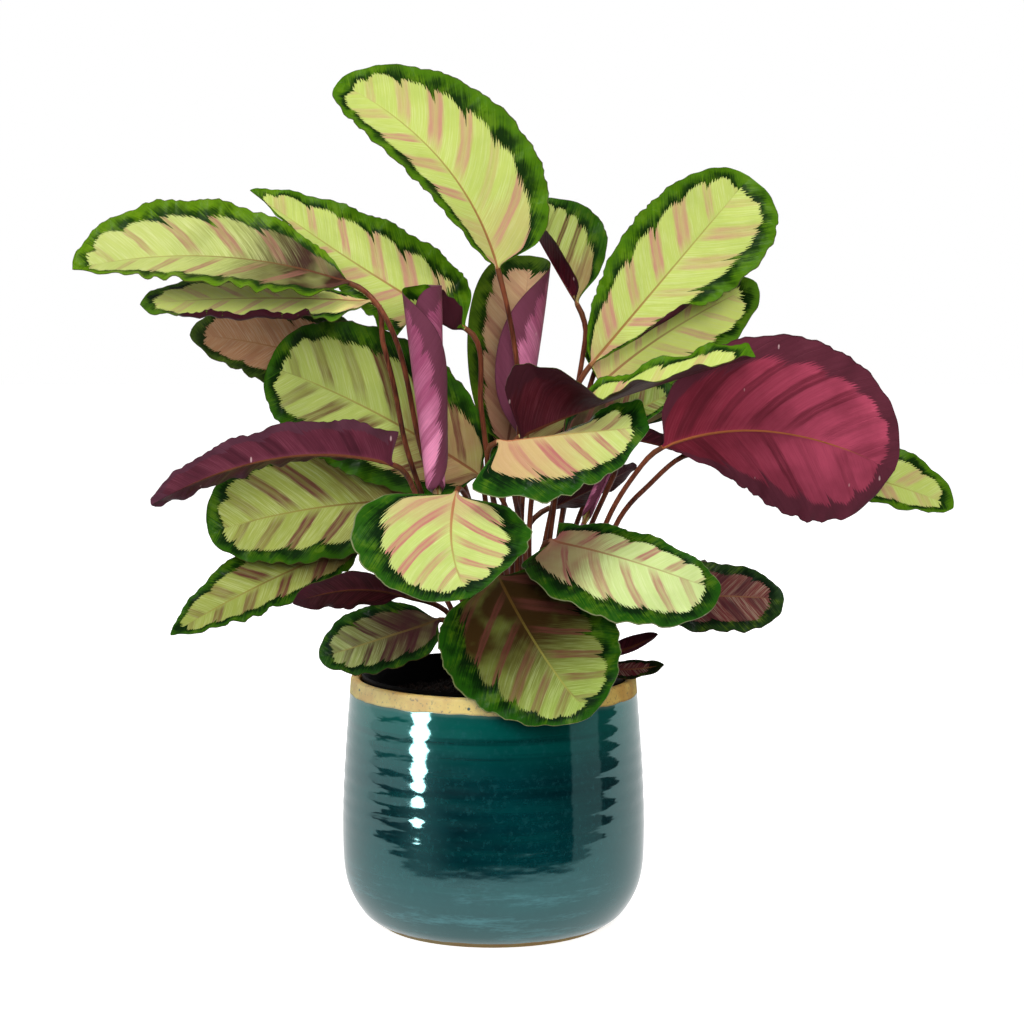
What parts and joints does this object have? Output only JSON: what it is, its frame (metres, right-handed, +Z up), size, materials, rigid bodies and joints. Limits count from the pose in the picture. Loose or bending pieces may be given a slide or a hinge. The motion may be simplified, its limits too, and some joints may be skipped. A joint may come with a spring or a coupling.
{
  "type": "potted calathea plant",
  "caption": "Bushy calathea with patterned oval leaves on long stems, growing from soil in a black growing pot that stands in a rounded, glazed pot.",
  "frame": {"origin": "centre of the pot's flat foot, on the surface it stands on", "axes": "+Z up along the pot's axis; the plant's front, as pictured, faces -Y; +X is to the right of a viewer in front"},
  "size_m": [0.5796, 0.3025, 0.5684],
  "materials": {
    "glaze": "glossy dark teal glaze over tan clay, bare at the rim and foot",
    "black_plastic": "black moulded plastic, satin",
    "soil": "dark, coarse, moist growing medium of peat and bark",
    "leaf": "satin leaf: lime centre with pink stripes and a dark green margin above, burgundy below, on a red-brown stem"
  },
  "bodies": {
    "root": {"pot": "glaze", "nursery_pot": "black_plastic", "soil": "soil", "leaf_top": "leaf", "leaf_left_long": "leaf", "leaf_left_crest": "leaf", "leaf_left_thin": "leaf", "leaf_left_shaded": "leaf", "leaf_left_round": "leaf", "leaf_rolled_front": "leaf", "leaf_rolled_tall": "leaf", "leaf_small_upper": "leaf", "leaf_right_top": "leaf", "leaf_right_shaded": "leaf", "leaf_folded_centre": "leaf", "leaf_centre_front": "leaf", "leaf_right_underside": "leaf", "leaf_right_far": "leaf", "leaf_left_underside": "leaf", "leaf_left_lower": "leaf", "leaf_left_drooping": "leaf", "leaf_front_round": "leaf", "leaf_small_purple": "leaf", "leaf_small_left": "leaf", "leaf_over_rim": "leaf", "leaf_right_front": "leaf", "leaf_right_low": "leaf", "leaf_sprout": "leaf", "leaf_rim_right": "leaf", "leaf_hidden_dark": "leaf", "leaf_rolled_bud": "leaf", "leaf_behind_centre": "leaf", "leaf_bit_right": "leaf", "leaf_back_left_high": "leaf", "leaf_back_right_high": "leaf", "leaf_back_right": "leaf", "leaf_back_centre": "leaf", "leaf_back_left_low": "leaf", "leaf_back_top": "leaf", "leaf_back_low": "leaf", "leaf_back_right_low": "leaf"}
  },
  "joints": []
}
